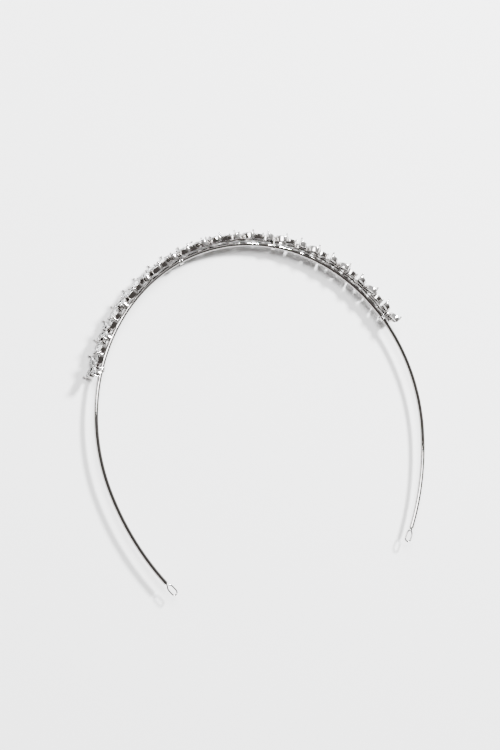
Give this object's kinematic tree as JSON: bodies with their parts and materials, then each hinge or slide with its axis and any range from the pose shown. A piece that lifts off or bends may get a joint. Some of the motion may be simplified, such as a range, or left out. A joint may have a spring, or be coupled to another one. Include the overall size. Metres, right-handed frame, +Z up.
{
  "type": "crystal headband",
  "caption": "Slim round wire headband with a tied-on row of claw-set crystals: four-petal navette clusters with round stones between them.",
  "frame": {"origin": "under the middle of the whole piece, on the surface that it lies on", "axes": "+X across the head from the left arm to the right arm, +Y from the open end to the crown, +Z up, square to the plane of the band"},
  "size_m": [0.1434, 0.1306, 0.0085],
  "materials": {
    "band_metal": "polished silver-tone plating with faint draw lines along the rod",
    "setting_metal": "bright polished silver-tone plating",
    "tie_wire": "bright soft wire",
    "crystal": "clear cut stone, polished"
  },
  "bodies": {
    "root": {"band": "band_metal", "end_loop_left": "tie_wire", "end_loop_right": "tie_wire", "setting_row": "setting_metal", "petal_stones": "crystal", "round_stone_1": "crystal", "round_stone_2": "crystal", "round_stone_3": "crystal", "round_stone_4": "crystal", "round_stone_5": "crystal", "round_stone_6": "crystal", "round_stone_7": "crystal", "round_stone_8": "crystal", "round_stone_9": "crystal", "round_stone_10": "crystal", "round_stone_11": "crystal", "tie_1": "tie_wire", "tie_2": "tie_wire", "tie_3": "tie_wire", "tie_4": "tie_wire"}
  },
  "joints": []
}
